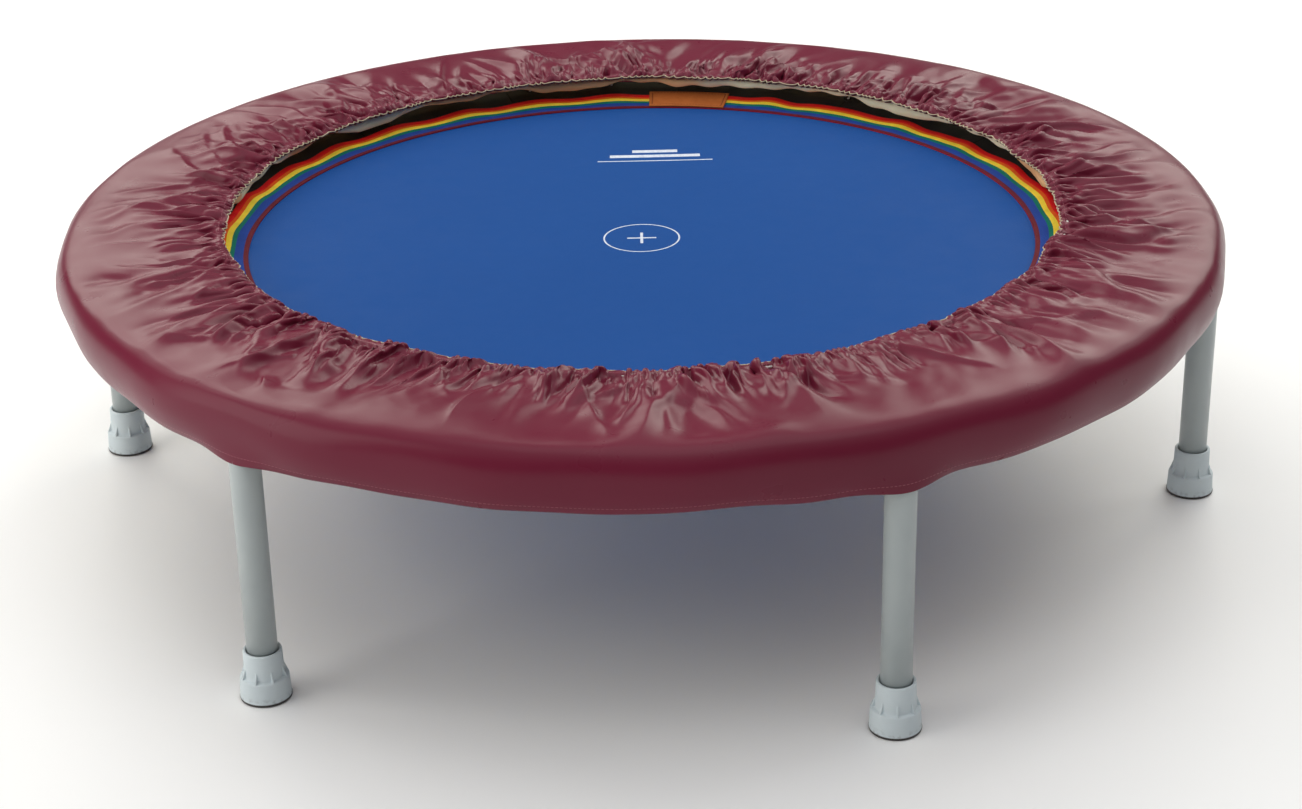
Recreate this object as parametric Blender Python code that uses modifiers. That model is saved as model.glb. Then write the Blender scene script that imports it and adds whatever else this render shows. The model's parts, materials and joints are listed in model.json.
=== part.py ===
"""Mini trampoline with a ring frame, six fold-in legs, a sprung jumping mat and a gathered edge cover.

Metres, +Z up. The origin is on the floor under the centre of the mat. A leg stands at +X and every
60 degrees from it, and the mat's label is at +Y.
"""

import math

import bmesh
import bpy
from mathutils import Matrix, Vector

MM = 0.001
GAP = 0.3 * MM  # between pieces that touch
ROUND_STEPS = 48  # round the whole trampoline
CUT_HALF = 30 * MM  # half length of a cutter that goes right through

# Frame ring, a tube bent to a circle
RING_R = 0.4975
RING_Z = 0.2475
TUBE_R = 12.5 * MM
TUBE_SIDES = 10
BORE_R = 11 * MM
BORE_SIDES = 8

# Hinge of a leg, measured from its pin
LEG_COUNT = 6
LEG_R = 0.503
HINGE_OFFSET = 20.5 * MM
HINGE_R = LEG_R - HINGE_OFFSET
HINGE_Z = 0.2225
PIN_R = 3 * MM
PIN_HOLE_R = 3.2 * MM
SEAT_X = (7 * MM, 27 * MM)
SEAT_THICK = 3 * MM
RIB_INNER_Y = 4 * MM
RIB_THICK = 3 * MM
RIB_TOP = 16 * MM
EAR_R = 6.5 * MM
WELD_DEPTH = 1.05 * MM
BOLT_HEAD = (5 * MM, 3 * MM)  # radius and height
NUT = (5.5 * MM, 4 * MM)
THREAD_END = 1 * MM

# Legs
LEG_SIDES = 16
LEG_TOP = 5.5 * MM  # above the pin
LEG_PLUG = 3 * MM
LEG_LIFT = 6 * MM  # the tube's end above the floor
TONGUE_HALF_Y = 3.7 * MM
TONGUE_R = 6 * MM
FOOT_STEPS = 16
FOOT_MOUTH_Z = 0.043
FOOT_OUTER = [(0.0156, 0.043), (0.0163, 0.0202), (0.0196, 0.0196), (0.0210, 0.002), (0.0204, 0)]

# Mat, in layers that are sewn together: edge webbing below, the mat, and the rainbow band over its edge
MAT_Z = 0.237
MAT_R = 0.3565
MAT_THICK = 1.2 * MM
EDGE_FLAT_R = 0.357
EDGE_RISE = 0.19  # slope of the webbing outside the mat
WEBBING_IN_R = 0.348
WEBBING_OUT_R = 0.413
WEBBING_THICK = 2 * MM
BAND_IN_R = 0.3525
BAND_STEP_R = 0.363  # where the band comes down on the webbing
BAND_OUT_R = 0.384
BAND_THICK = 1.2 * MM
LABEL_IN_R = 0.3535
LABEL_DEG = 90
LABEL_HALF_DEG = 6.2
LABEL_THICK = 1.5 * MM
LABEL_STEPS = 4

# Springs, each along +X before it is turned to its place
SPRING_COUNT = 30
SPRING_PITCH = math.tau / SPRING_COUNT
EYELET_R = 0.406
EYELET_HOLE_R = 4 * MM
RING_HOLE_R = 3 * MM
HOOK_WIRE_R = 1.3 * MM
HOOK_CLEAR = 1 * MM
COIL_R = 6.5 * MM
COIL_SIDES = 8
COIL_X = (0.421, 0.467)
HOOK_ROOT = 3 * MM  # how far a hook starts inside the coil
RING_HOOK_X = RING_R - 6 * MM
RING_HOOK_DROP = 5 * MM
MAT_HOOK_TURN = 5 * MM

# Cover, foam and elastic
COVER_THICK = 1.5 * MM
COVER_TOP = 0.268
COVER_OUT_R = 0.518
COVER_IN_R = 0.3705
COVER_CORNER = 8 * MM
COVER_CORNER_STEPS = 3
SKIRT_BOTTOM = 0.2125
HEM_CHAMFER = 1 * MM
FOAM_THICK = 5.9 * MM
FOAM_IN_R = 0.379
CORD_R = 2 * MM
CORD_SIDES = 6


def clear_scene():
    for old in list(bpy.data.objects):
        bpy.data.objects.remove(old)


def collection(name, hidden=False):
    made = bpy.data.collections.new(name)
    bpy.context.scene.collection.children.link(made)
    made.hide_render = hidden
    return made


def material(name, colour, roughness, metallic=0.0):
    made = bpy.data.materials.new(name)
    made.use_nodes = True
    shader = made.node_tree.nodes["Principled BSDF"]
    shader.inputs["Base Color"].default_value = (*colour, 1)
    shader.inputs["Roughness"].default_value = roughness
    shader.inputs["Metallic"].default_value = metallic
    return made


clear_scene()
PARTS = collection("mini_trampoline")
CUTTERS = collection("cutters", hidden=True)

GREY_PAINT = material("grey_paint", (0.38, 0.43, 0.45), 0.4)
GREY_RUBBER = material("grey_rubber", (0.45, 0.50, 0.53), 0.6)
ZINC = material("zinc_steel", (0.62, 0.62, 0.60), 0.35, 0.9)
BLUE_MAT = material("blue_mat", (0.03, 0.09, 0.30), 0.7)
BLACK_WEBBING = material("black_webbing", (0.012, 0.012, 0.012), 0.8)
RAINBOW = material("rainbow_webbing", (0.75, 0.45, 0.03), 0.8)
BROWN_LABEL = material("brown_label", (0.45, 0.15, 0.04), 0.8)
WINE_FABRIC = material("wine_fabric", (0.22, 0.05, 0.09), 0.45)
CREAM_FOAM = material("cream_foam", (0.75, 0.68, 0.60), 0.9)
WHITE_ELASTIC = material("white_elastic", (0.7, 0.68, 0.64), 0.8)


# ---- Shared building blocks ----


def add(name, mesh, look, parent=None):
    """A new part with one material, smooth apart from its sharp edges."""
    obj = bpy.data.objects.new(name, mesh)
    PARTS.objects.link(obj)
    if not mesh.materials:
        mesh.materials.append(look)
    mesh.shade_smooth()
    mesh.set_sharp_from_angle(angle=math.radians(40))
    obj.parent = parent
    return obj


def cutter(name, mesh):
    """A helper shape for a Boolean, left out of the model itself."""
    obj = bpy.data.objects.new(name, mesh)
    CUTTERS.objects.link(obj)
    obj.hide_render = True
    obj.display_type = "WIRE"
    return obj


def boolean(obj, other, operation):
    modifier = obj.modifiers.new(f"{operation.lower()}_{other.name}", "BOOLEAN")
    modifier.operation = operation
    modifier.object = other


def baked(obj):
    """The object's mesh with its modifiers applied, for pieces that share one mesh."""
    bpy.context.view_layer.update()
    graph = bpy.context.evaluated_depsgraph_get()
    return bpy.data.meshes.new_from_object(obj.evaluated_get(graph))


def finished(shape, name):
    """A bmesh as a mesh."""
    mesh = bpy.data.meshes.new(name)
    shape.to_mesh(mesh)
    shape.free()
    return mesh


def rod(radius, start, end, sides):
    """A capped cylinder between two points."""
    start, end = Vector(start), Vector(end)
    turn = (end - start).to_track_quat("Z", "Y").to_matrix().to_4x4()
    place = Matrix.Translation((start + end) / 2) @ turn
    shape = bmesh.new()
    bmesh.ops.create_cone(
        shape,
        cap_ends=True,
        segments=sides,
        radius1=radius,
        radius2=radius,
        depth=(end - start).length,
        matrix=place,
    )
    return finished(shape, "rod")


def block(low, high):
    """A box between two corners."""
    low, high = Vector(low), Vector(high)
    place = Matrix.Translation((low + high) / 2) @ Matrix.Diagonal((*(high - low), 1))
    shape = bmesh.new()
    bmesh.ops.create_cube(shape, size=1, matrix=place)
    return finished(shape, "block")


def curve_mesh(curve):
    """A curve as a mesh whose caps are welded to its sides."""
    guide = bpy.data.objects.new("guide", curve)
    CUTTERS.objects.link(guide)
    shape = bmesh.new()
    shape.from_mesh(baked(guide))
    bpy.data.objects.remove(guide)
    bmesh.ops.remove_doubles(shape, verts=shape.verts, dist=0.01 * MM)
    return finished(shape, curve.name)


def poly_spline(curve, points, cyclic=False):
    line = curve.splines.new("POLY")
    line.points.add(len(points) - 1)
    for spot, point in zip(line.points, points):
        spot.co = (*point, 1)
    line.use_cyclic_u = cyclic


def plate(outline, thickness):
    """A flat plate: an (x, z) outline, thickened along Y about Y = 0."""
    curve = bpy.data.curves.new("plate", "CURVE")
    curve.dimensions = "2D"
    curve.fill_mode = "BOTH"
    curve.extrude = thickness / 2
    poly_spline(curve, [(x, z, 0) for x, z in outline], cyclic=True)
    mesh = curve_mesh(curve)
    mesh.transform(Matrix.Rotation(math.radians(90), 4, "X"))
    return mesh


def wire(points):
    """A bent hook wire, four-sided because the springs are many."""
    curve = bpy.data.curves.new("wire", "CURVE")
    curve.dimensions = "3D"
    curve.bevel_depth = HOOK_WIRE_R
    curve.bevel_resolution = 0
    curve.use_fill_caps = True
    poly_spline(curve, points)
    return curve_mesh(curve)


def arc(radius, first, last, steps, centre=(0, 0)):
    """Points on a circle, with angles in degrees."""
    angles = [math.radians(first + (last - first) * i / steps) for i in range(steps + 1)]
    return [(centre[0] + radius * math.cos(a), centre[1] + radius * math.sin(a)) for a in angles]


def circle_profile(radius, sides, centre):
    """A closed round profile that runs down its outer side."""
    half = 180 / sides
    return arc(radius, half, half - 360, sides, centre)[:-1]


def turned(name, profile, look, closed=True, steps=ROUND_STEPS, flats_true=True):
    """An (r, z) profile turned about Z. With flats_true the middle of each flat is at the true radius,
    and one flat faces +X."""
    stretch = 1 / math.cos(math.pi / steps) if flats_true else 1
    count = len(profile)
    edges = [(i, (i + 1) % count) for i in range(count if closed else count - 1)]
    mesh = bpy.data.meshes.new(name)
    mesh.from_pydata([(r * stretch, 0, z) for r, z in profile], edges, [])
    obj = add(name, mesh, look)
    obj.rotation_euler.z = math.pi / steps if flats_true else 0
    screw = obj.modifiers.new("turn", "SCREW")
    screw.steps = steps
    screw.render_steps = steps
    screw.use_merge_vertices = True
    screw.merge_threshold = 0.01 * MM
    return obj


def turned_mesh(name, profile, look, **options):
    """A turned shape as a mesh in its place, with no object left."""
    obj = turned(name, profile, look, **options)
    mesh = baked(obj)
    mesh.transform(obj.matrix_world)
    bpy.data.objects.remove(obj)
    return mesh


def radial(angle, radius, height):
    """The place, at this angle, of a shape modelled with +X outwards."""
    return Matrix.Rotation(angle, 4, "Z") @ Matrix.Translation((radius, 0, height))


def around(mesh, count, first, radius, height):
    """One mesh that holds count copies of a mesh, spaced evenly round Z."""
    shape = bmesh.new()
    for i in range(count):
        copy = mesh.copy()
        copy.transform(radial(first + math.tau * i / count, radius, height))
        shape.from_mesh(copy)
        bpy.data.meshes.remove(copy)
    return finished(shape, "pattern")


def webbing_top(radius):
    """Height of the edge webbing's top face: flat under the mat, then rising outwards."""
    return MAT_Z + EDGE_RISE * max(0, radius - EDGE_FLAT_R)


# ---- Frame ----


def pin_hole():
    """Cutter for the hinge pin, along Y through the origin."""
    return rod(PIN_HOLE_R, (0, -CUT_HALF, 0), (0, CUT_HALF, 0), 12)


def hinge_bracket_mesh():
    """Seat plate that a leg's top bears on, and two ribs that carry the hinge pin. The pin's axis is Y
    through the origin, +X points outwards, and the ring's tube is cut out of the ribs."""
    seat_z = LEG_TOP + GAP
    low = (SEAT_X[0], -TUBE_R, seat_z)
    high = (SEAT_X[1], TUBE_R, seat_z + SEAT_THICK)
    bracket = cutter("bracket", block(low, high))
    rib_low = seat_z + SEAT_THICK / 3
    outline = arc(EAR_R, 180, 360, 8)
    outline += [(EAR_R, rib_low), (SEAT_X[1], rib_low), (SEAT_X[1], RIB_TOP), (-EAR_R, RIB_TOP)]
    for side in (-1, 1):
        rib = plate(outline, RIB_THICK)
        rib.transform(Matrix.Translation((0, side * (RIB_INNER_Y + RIB_THICK / 2), 0)))
        boolean(bracket, cutter(f"rib_{side}", rib), "UNION")
    tube_x, tube_z = RING_R - HINGE_R, RING_Z - HINGE_Z
    tube = rod(TUBE_R - WELD_DEPTH, (tube_x, -CUT_HALF, tube_z), (tube_x, CUT_HALF, tube_z), 20)
    boolean(bracket, cutter("weld_line", tube), "DIFFERENCE")
    boolean(bracket, cutter("rib_holes", pin_hole()), "DIFFERENCE")
    return baked(bracket)


def frame_ring():
    """Steel tube ring with a welded hinge bracket for each leg, and a hole on its inner side for each
    spring's hook."""
    centre = (RING_R, RING_Z)
    ring = turned("frame_ring", circle_profile(TUBE_R, TUBE_SIDES, centre), GREY_PAINT)
    bore = turned_mesh("bore", circle_profile(BORE_R, BORE_SIDES, centre), GREY_PAINT)
    drill = rod(RING_HOLE_R, (-1.5 * TUBE_R, 0, 0), (-0.5 * TUBE_R, 0, 0), 8)
    hook_holes = around(drill, SPRING_COUNT, SPRING_PITCH / 2, RING_R, RING_Z)
    brackets = around(hinge_bracket_mesh(), LEG_COUNT, 0, HINGE_R, HINGE_Z)
    boolean(ring, cutter("ring_bore", bore), "DIFFERENCE")
    boolean(ring, cutter("hook_holes", hook_holes), "DIFFERENCE")
    boolean(ring, cutter("brackets", brackets), "UNION")


# ---- Legs, modelled from the hinge pin with +X outwards ----


def leg_tube_mesh():
    """Steel tube with a closed top, and a hinge tongue on its inner side."""
    foot = LEG_LIFT - HINGE_Z
    tube = cutter("tube", rod(TUBE_R, (HINGE_OFFSET, 0, foot), (HINGE_OFFSET, 0, LEG_TOP), LEG_SIDES))
    bore_ends = (HINGE_OFFSET, 0, foot - CUT_HALF), (HINGE_OFFSET, 0, LEG_TOP - LEG_PLUG)
    boolean(tube, cutter("leg_bore", rod(BORE_R, *bore_ends, LEG_SIDES)), "DIFFERENCE")
    tongue_top = LEG_TOP - GAP
    root_x = HINGE_OFFSET - (TUBE_R + BORE_R) / 2
    outline = arc(TONGUE_R, 90, 270, 8)
    outline += [(root_x, -TONGUE_R), (root_x, tongue_top), (TONGUE_R, tongue_top)]
    boolean(tube, cutter("tongue", plate(outline, 2 * TONGUE_HALF_Y)), "UNION")
    boolean(tube, cutter("tongue_hole", pin_hole()), "DIFFERENCE")
    return baked(tube)


def hinge_pin_mesh():
    """Bolt with a round head and a hexagon nut."""
    clamp_y = RIB_INNER_Y + RIB_THICK + GAP
    shank_end = clamp_y + NUT[1] + THREAD_END
    pin = cutter("shank", rod(PIN_R, (0, -clamp_y - THREAD_END, 0), (0, shank_end, 0), 12))
    head = rod(BOLT_HEAD[0], (0, -clamp_y - BOLT_HEAD[1], 0), (0, -clamp_y, 0), 12)
    boolean(pin, cutter("bolt_head", head), "UNION")
    nut = rod(NUT[0], (0, clamp_y, 0), (0, clamp_y + NUT[1], 0), 6)
    boolean(pin, cutter("nut", nut), "UNION")
    return baked(pin)


def foot_cap_mesh():
    """Stepped rubber cap, pushed over the tube's end."""
    socket = TUBE_R + GAP
    floor = LEG_LIFT - GAP
    profile = [(0, floor), (socket, floor), (socket, FOOT_MOUTH_Z), *FOOT_OUTER, (0, 0)]
    mesh = turned_mesh("foot", profile, GREY_RUBBER, closed=False, steps=FOOT_STEPS, flats_true=False)
    mesh.transform(Matrix.Translation((HINGE_OFFSET, 0, -HINGE_Z)))
    return mesh


def legs():
    pin, tube, cap = hinge_pin_mesh(), leg_tube_mesh(), foot_cap_mesh()
    for i in range(LEG_COUNT):
        hinge = bpy.data.objects.new(f"leg_hinge_{i + 1}", None)
        PARTS.objects.link(hinge)
        hinge.matrix_world = radial(math.tau * i / LEG_COUNT, HINGE_R, HINGE_Z)
        add(f"hinge_pin_{i + 1}", pin, ZINC, parent=hinge)
        add(f"leg_tube_{i + 1}", tube, GREY_PAINT, parent=hinge)
        add(f"foot_cap_{i + 1}", cap, GREY_RUBBER, parent=hinge)


# ---- Mat ----


def sheet(line, thickness):
    """Section of a sheet that lies on a line of (r, z) points, given from the inside outwards."""
    return [(r, z + thickness) for r, z in line] + list(reversed(line))


def jump_mat():
    low, high = MAT_Z + GAP, MAT_Z + GAP + MAT_THICK
    turned("jump_mat", [(0, high), (MAT_R, high), (MAT_R, low), (0, low)], BLUE_MAT, closed=False)


def edge_webbing():
    """Black webbing under the mat's edge, with an eyelet for each spring's hook."""
    line = [(r, webbing_top(r) - WEBBING_THICK) for r in (WEBBING_IN_R, EDGE_FLAT_R, WEBBING_OUT_R)]
    webbing = turned("edge_webbing", sheet(line, WEBBING_THICK), BLACK_WEBBING)
    punch = rod(EYELET_HOLE_R, (0, 0, -CUT_HALF), (0, 0, CUT_HALF), 8)
    eyelets = around(punch, SPRING_COUNT, SPRING_PITCH / 2, EYELET_R, MAT_Z)
    boolean(webbing, cutter("eyelets", eyelets), "DIFFERENCE")


def band_line(first_r, gap):
    """Line over the mat's edge and down on the webbing, clear of both."""
    on_mat = MAT_Z + 2 * GAP + MAT_THICK + gap
    line = [(first_r, on_mat), (EDGE_FLAT_R + GAP, on_mat)]
    return line + [(r, webbing_top(r) + GAP + gap) for r in (BAND_STEP_R, BAND_OUT_R)]


def rainbow_band():
    turned("rainbow_band", sheet(band_line(BAND_IN_R, 0), BAND_THICK), RAINBOW)


def band_label():
    """Label on the rainbow band: its section swept through the label's angle."""
    section = sheet(band_line(LABEL_IN_R, BAND_THICK + GAP), LABEL_THICK)
    half = math.radians(LABEL_HALF_DEG)
    shape = bmesh.new()
    end = shape.faces.new([shape.verts.new((r, 0, z)) for r, z in section])
    bmesh.ops.spin(
        shape,
        geom=[end, *end.edges, *end.verts],
        axis=(0, 0, 1),
        cent=(0, 0, 0),
        angle=2 * half,
        steps=LABEL_STEPS,
    )
    bmesh.ops.recalc_face_normals(shape, faces=shape.faces)
    label = add("band_label", finished(shape, "band_label"), BROWN_LABEL)
    label.rotation_euler.z = math.radians(LABEL_DEG) - half


# ---- Springs ----


def spring_mesh():
    """Extension spring from an eyelet to the ring. The coil is modelled as its envelope."""
    above = webbing_top(WEBBING_OUT_R) + HOOK_CLEAR + HOOK_WIRE_R
    below = webbing_top(EYELET_R) - WEBBING_THICK - HOOK_CLEAR - HOOK_WIRE_R
    hook_x = EYELET_R + HOOK_CLEAR
    mat_hook = [
        (COIL_X[0] + HOOK_ROOT, 0, RING_Z),
        (WEBBING_OUT_R + HOOK_ROOT, 0, above),
        (hook_x, 0, above),
        (hook_x, 0, below),
        (hook_x + MAT_HOOK_TURN, 0, below - HOOK_CLEAR),
    ]
    ring_hook = [
        (COIL_X[1] - HOOK_ROOT, 0, RING_Z),
        (RING_HOOK_X, 0, RING_Z),
        (RING_HOOK_X, 0, RING_Z - RING_HOOK_DROP),
    ]
    spring = cutter("coil", rod(COIL_R, (COIL_X[0], 0, RING_Z), (COIL_X[1], 0, RING_Z), COIL_SIDES))
    boolean(spring, cutter("mat_hook", wire(mat_hook)), "UNION")
    boolean(spring, cutter("ring_hook", wire(ring_hook)), "UNION")
    return baked(spring)


def springs():
    mesh = spring_mesh()
    for i in range(SPRING_COUNT):
        spring = add(f"spring_{i + 1:02d}", mesh, ZINC)
        spring.rotation_euler.z = SPRING_PITCH * (i + 0.5)


# ---- Cover ----


def cover_corner(inset):
    """Rounded upper outer corner, this far inside the cover's surface, from its top to its side."""
    centre = (COVER_OUT_R - COVER_CORNER, COVER_TOP - COVER_CORNER)
    return arc(COVER_CORNER - inset, 90, 0, COVER_CORNER_STEPS, centre)


def frame_cover():
    """Fabric cover over the ring and springs: a hem round the elastic, a flat top and a skirt."""
    top = COVER_TOP - COVER_THICK
    hem_low = top - 2 * CORD_R - 2 * GAP
    hem_out = COVER_IN_R + COVER_THICK
    profile = [(COVER_IN_R, COVER_TOP - HEM_CHAMFER), (COVER_IN_R + HEM_CHAMFER, COVER_TOP)]
    profile += cover_corner(0)
    profile += [(COVER_OUT_R, SKIRT_BOTTOM), (COVER_OUT_R - COVER_THICK, SKIRT_BOTTOM)]
    profile += reversed(cover_corner(COVER_THICK))
    profile += [(hem_out, top), (hem_out, hem_low), (COVER_IN_R, hem_low)]
    turned("frame_cover", profile, WINE_FABRIC)


def foam_pad():
    """Foam sheet on the springs and ring, turned down over the ring's outer side."""
    inset = COVER_THICK + GAP
    top = COVER_TOP - inset
    wall_in = RING_R + TUBE_R + GAP
    low = RING_Z - TUBE_R
    profile = [(FOAM_IN_R, top), *cover_corner(inset), (COVER_OUT_R - inset, low)]
    profile += [(wall_in, low), (wall_in, top - FOAM_THICK), (FOAM_IN_R, top - FOAM_THICK)]
    turned("foam_pad", profile, CREAM_FOAM)


def gather_elastic():
    """Round elastic cord in the cover's inner hem."""
    centre_r = COVER_IN_R + COVER_THICK + GAP + CORD_R
    centre_z = COVER_TOP - COVER_THICK - GAP - CORD_R
    turned("gather_elastic", circle_profile(CORD_R, CORD_SIDES, (centre_r, centre_z)), WHITE_ELASTIC)


frame_ring()
legs()
jump_mat()
edge_webbing()
rainbow_band()
band_label()
springs()
frame_cover()
foam_pad()
gather_elastic()
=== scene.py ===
"""Looks for the mini trampoline: gathered cover, foam, striped mat, coil springs, legs and studio."""

import json
import math

import bmesh
import bpy
import numpy as np
from mathutils import Matrix, Vector


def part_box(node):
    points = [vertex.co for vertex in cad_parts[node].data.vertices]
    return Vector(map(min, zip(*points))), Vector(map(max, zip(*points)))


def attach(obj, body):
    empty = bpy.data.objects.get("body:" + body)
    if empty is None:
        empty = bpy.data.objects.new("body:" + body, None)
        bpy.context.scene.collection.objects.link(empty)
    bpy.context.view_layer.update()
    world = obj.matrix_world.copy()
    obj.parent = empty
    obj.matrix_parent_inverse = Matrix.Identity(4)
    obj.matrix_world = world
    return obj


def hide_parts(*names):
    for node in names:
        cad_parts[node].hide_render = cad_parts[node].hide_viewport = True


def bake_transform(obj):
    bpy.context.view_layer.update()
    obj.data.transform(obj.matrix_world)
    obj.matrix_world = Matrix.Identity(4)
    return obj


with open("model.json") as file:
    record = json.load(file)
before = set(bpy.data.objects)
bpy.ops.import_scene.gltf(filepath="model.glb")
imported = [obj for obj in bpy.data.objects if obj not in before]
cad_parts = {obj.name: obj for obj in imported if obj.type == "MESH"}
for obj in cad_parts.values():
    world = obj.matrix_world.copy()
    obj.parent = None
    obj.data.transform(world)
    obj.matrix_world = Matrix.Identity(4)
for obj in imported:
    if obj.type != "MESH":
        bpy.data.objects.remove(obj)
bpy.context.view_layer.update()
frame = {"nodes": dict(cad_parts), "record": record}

MM = 0.001
TAU = math.tau
NEAR_AXIS = 0.01  # millimetres: a turned piece is closed at this radius


def mm_from(origin, *offsets):
    """Points at these offsets in millimetres from an origin in metres."""
    return [(origin[0] + x * MM, origin[1] + z * MM) for x, z in offsets]


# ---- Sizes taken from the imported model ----


def half_width(node, axis):
    low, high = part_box(node)
    return (high[axis] - low[axis]) / 2


def radius_of(node):
    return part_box(node)[1][0]


def top_of(node):
    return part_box(node)[1][2]


def low_of(node):
    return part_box(node)[0][2]


def node_angle(node):
    low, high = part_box(node)
    return math.atan2(low[1] + high[1], low[0] + high[0])


TUBE_R = half_width("leg_tube_1", 1)
RING_TOP = top_of("frame_ring")
RING_Z = RING_TOP - TUBE_R
RING_R = radius_of("frame_ring") - TUBE_R
MAT_R = radius_of("jump_mat")
MAT_TOP = top_of("jump_mat")
MAT_LOW = low_of("jump_mat")
WEB_R = radius_of("edge_webbing")
WEB_LOW = low_of("edge_webbing")
WEB_TOP = top_of("edge_webbing")
BAND_R = radius_of("rainbow_band")
CORD_R = half_width("gather_elastic", 2)
CORD_Z = low_of("gather_elastic") + CORD_R
CORD_RING_R = radius_of("gather_elastic") - CORD_R
COVER_R = radius_of("frame_cover")
COVER_TOP = top_of("frame_cover")
COVER_LOW = low_of("frame_cover")
FOAM_LOW = low_of("foam_pad")
LEG_R = sum(corner[0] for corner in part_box("foot_cap_1")) / 2
LEG_TOP = top_of("leg_tube_1")
FOOT_TOP = top_of("foot_cap_1")
JOINTS = frame["record"]["behaviour"]["joints"]
HINGES = {joint["child"]: Vector(joint["pos_m"]) for joint in JOINTS if joint["type"] == "hinge"}
LEGS = sorted(HINGES)
SPRINGS = sorted(node for node in frame["nodes"] if node.startswith("spring_"))

# ---- Cover and foam sizes ----

COVER_COLUMNS = 1440
FOAM_COLUMNS = 720
SECTION_SAMPLES, SECTION_PASSES = 1200, 90  # how finely and how much the profile is rounded off
SKIRT_ROWS = 11  # rows of the skirt's hem, which stay as they are
HEM_END = 4  # index of the profile point where the gathered top starts
WALL_START = 12  # index of the profile point where the wall starts
COVER_PROFILE = [
    *mm_from((CORD_RING_R, CORD_Z), (3.8, -1.2), (0.8, -1.6), (-2.0, 0.1), (-3.8, 1.8), (-2.4, 3.3)),
    *mm_from((CORD_RING_R + CORD_R, CORD_Z + CORD_R), (2, 1.6)),
    *mm_from((0, COVER_TOP), (392, 0.6), (420, 0.8), (450, 0.6), (480, 0.2), (495, -0.2)),
    *mm_from((0, COVER_TOP), (503.5, -1.2), (511.5, -5.2), (516.5, -14)),
    *mm_from((COVER_R, COVER_TOP), (0, -23)),
    *mm_from((0, COVER_TOP), (517.2, -34)),
    *mm_from((0, COVER_LOW), (513.2, 9), (508.2, 0.6), (507.0, -0.2), (505.8, 0.4), (508.5, 7)),
]
FORMER_PROFILE = [
    *mm_from((CORD_RING_R, COVER_TOP), (-7, -10), (-2, -4.2)),
    *mm_from((0, COVER_TOP), (385, -1.8), (490, -2.0), (503, -3.0), (512, -9), (515.5, -23)),
    *mm_from((0, COVER_LOW), (512, 8)),
]
FOAM_TOP = [
    *mm_from((CORD_RING_R + CORD_R, RING_TOP), (2.1, 2.6), (8.6, 2.2)),
    *mm_from((0, RING_TOP), (430, 0.8), (460, 1.4), (488, 3.2), (503, 3.6)),
]  # radius and height of the foam's upper face
CLOTH_FLOOR = [*mm_from((CORD_RING_R, CORD_Z), (3.6, 1.5)), *FOAM_TOP]
FOLD_R = 0.42  # radius where the lengths of the folds are measured
FOLD_LENGTHS = (12 * MM, 90 * MM)
FOLD_WAVES = 260
FOLD_BENDS = 26
FOLD_PEAK = 11 * MM
FOLD_GAIN = 2.6  # the settled folds are deepened this much
# In these four tables the first row is a distance outwards from the hem.
FOLD_CAP = ((0, 0.05, 0.09, 0.13), (9 * MM, 8 * MM, 6 * MM, 2.5 * MM))
FOLD_LIMIT = ((0, 0.012, 0.030), (4 * MM, 8 * MM, 13 * MM))  # height above the cover's top
FINEST_WAVES = ((0, 0.03, 0.06, 0.10), (430, 300, 150, 100))  # waves round the cover
EXCESS = ((0, 0.02, 0.05, 0.10, 0.135), (0.38, 0.27, 0.14, 0.060, 0.0))  # spare length of the cloth
CREASE = 0.40
RUFFLES = 298
RUFFLE_ROWS = (
    (1.0, -12 * MM, 10 * MM, 3.4 * MM, 21),
    (0.93, 6 * MM, 22 * MM, 4.2 * MM, 25),
    (0.40, 14 * MM, 60 * MM, 3.2 * MM, 29),
)  # share of the ruffles, distance from the hem at both ends, height and seed
PLEATS = 190
PLEAT_LENGTHS = (22 * MM, 112 * MM)
CLOTH_FRAMES = 16
CLOTH_SETTINGS = {
    "quality": 4,
    "mass": 0.0005,
    "tension_stiffness": 20,
    "compression_stiffness": 20,
    "shear_stiffness": 3,
    "bending_stiffness": 0.12,
    "tension_damping": 5,
    "compression_damping": 5,
    "shear_damping": 2,
    "bending_damping": 0.2,
    "air_damping": 3,
}

# ---- Mat, spring and leg sizes ----

MAT_COLUMNS = 240
WEB_COLUMNS = 1440
MAT_SAG = 6.5 * MM
WEB_FLAT_R = MAT_R + 0.5 * MM
WEB_FLAT_Z = MAT_LOW - 0.3 * MM
BAND_IN_R = 0.3525
BAND_WIDTH = math.hypot(BAND_R - BAND_IN_R, 0.006)
SEAM_COUNT = 14
SEAM_FIRST = math.radians(66.1) + math.pi / SEAM_COUNT
PULL = 0.9 * MM  # how far each spring draws the mat's edge out
LABEL_HALF = math.radians(6.2)
LABEL_BEND_R = 0.362  # inside this radius the label lies level
LABEL_WIDTH = BAND_R - BAND_IN_R + 1 * MM
LABEL_LENGTH = 2 * LABEL_HALF * 0.37
LABEL_STITCH = 3.2 * MM  # distance of the label's stitches from its edge, and their pitch
VIEW_TURN = 7.9  # degrees from the frame's axes to the camera's
TARGET_R, CROSS_R = 34 * MM, 13 * MM
MARK_SOFT = 0.3 * MM
BARS_PLACE = (0.215 * math.cos(math.radians(94)), 0.215 * math.sin(math.radians(94)))
BARS = ((-12 * MM, 56 * MM, 0.8 * MM), (1 * MM, 44 * MM, 3.4 * MM), (14 * MM, 22 * MM, 3.4 * MM))
EYELET_R = 0.406
EYELET_HOLE = 4.8 * MM
COIL_ENDS = (0.421, 0.467)
COIL_R = 5.4 * MM
COIL_TURNS = 19
CLAMP = 7.3 * MM  # from a bracket's middle to its outer face, where the bolt clamps it
BRACKET_OUT = 27 * MM
LEDGE = 19.7 * MM  # height of the step round a foot
BUTTRESSES = 8
EDGE_ROUND = 0.5 * MM

# ---- Studio sizes ----

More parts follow.
